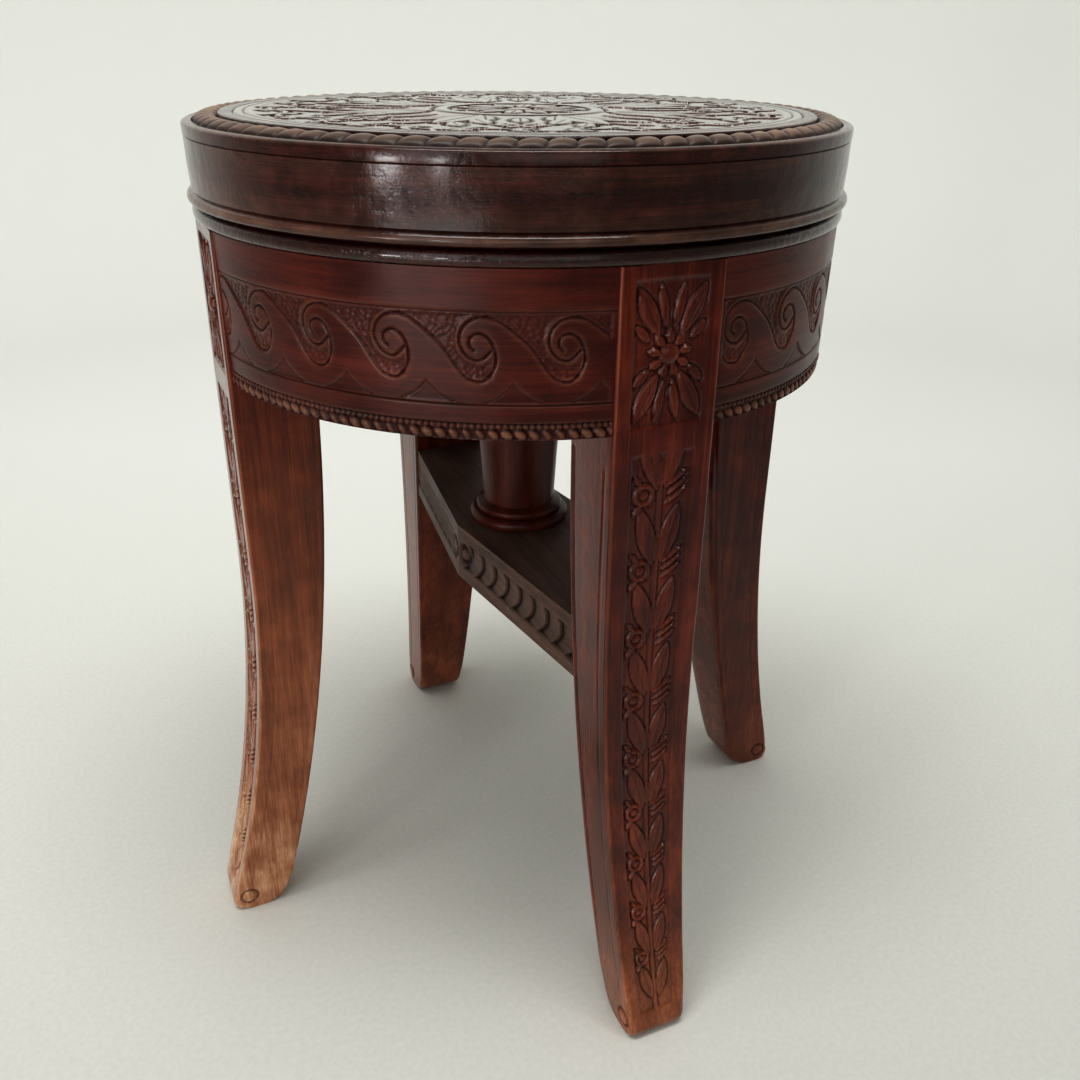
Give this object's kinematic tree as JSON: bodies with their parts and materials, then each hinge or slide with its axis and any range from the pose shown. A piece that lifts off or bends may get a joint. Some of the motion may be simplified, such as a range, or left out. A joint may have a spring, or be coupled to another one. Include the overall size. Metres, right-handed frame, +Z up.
{
  "type": "piano stool",
  "caption": "Round revolving piano stool: a carved hardwood drum on sabre legs with a lozenge stretcher, and a seat that rises as it turns on an iron screw.",
  "frame": {"origin": "floor level under the middle of the seat", "axes": "+Z up along the screw spindle, front leg towards -Y, right leg towards +X"},
  "size_m": [0.424, 0.424, 0.4943],
  "materials": {
    "leg_hardwood": "red-brown stained hardwood, French polished, worn at the feet",
    "apron_hardwood": "red-brown stained hardwood, French polished",
    "hoop_hardwood": "very dark brown stained hardwood, glossy",
    "panel_hardwood": "dark brown stained hardwood, waxed",
    "rim_hardwood": "black stained hardwood, glossy",
    "stretcher_hardwood": "dark brown stained hardwood, satin",
    "plain_wood": "unpolished wood, darkened by age",
    "wrought_iron": "dark iron, oiled",
    "nut_brass": "dull brass",
    "screw_steel": "dull steel",
    "washer_leather": "hard sole leather"
  },
  "bodies": {
    "base": {"apron_back_left": "apron_hardwood", "apron_back_right": "apron_hardwood", "apron_dowels": "plain_wood", "apron_front_left": "apron_hardwood", "apron_front_right": "apron_hardwood", "column": "stretcher_hardwood", "column_wedge": "plain_wood", "drum_top": "rim_hardwood", "drum_top_screws": "screw_steel", "glue_block_back_left": "plain_wood", "glue_block_back_right": "plain_wood", "glue_block_front_left": "plain_wood", "glue_block_front_right": "plain_wood", "glue_block_left_left": "plain_wood", "glue_block_left_right": "plain_wood", "glue_block_right_left": "plain_wood", "glue_block_right_right": "plain_wood", "leg_back": "leg_hardwood", "leg_front": "leg_hardwood", "leg_left": "leg_hardwood", "leg_right": "leg_hardwood", "nut_screws": "screw_steel", "screw_nut": "nut_brass", "stretcher": "stretcher_hardwood"},
    "washer": {"thrust_washer": "washer_leather"},
    "seat": {"seat_hoop": "hoop_hardwood", "seat_panel": "panel_hardwood", "seat_bearer": "plain_wood", "bearer_screws": "screw_steel", "seat_flange": "wrought_iron", "flange_screws": "screw_steel", "screw_spindle": "wrought_iron"}
  },
  "joints": [
    {"name": "seat_lift", "type": "slide", "parent": "base", "child": "washer", "axis": [0, 0, 1], "range_m": [0, 0.09]},
    {"name": "seat_turn", "type": "hinge", "parent": "washer", "child": "seat", "pos_m": [0, 0, 0.46], "axis": [0, 0, 1], "range_deg": [0, 5400]}
  ],
  "couplings": [
    {"joint": "seat_lift", "follows": "seat_turn", "m_per_rad": 0.00095493}
  ]
}
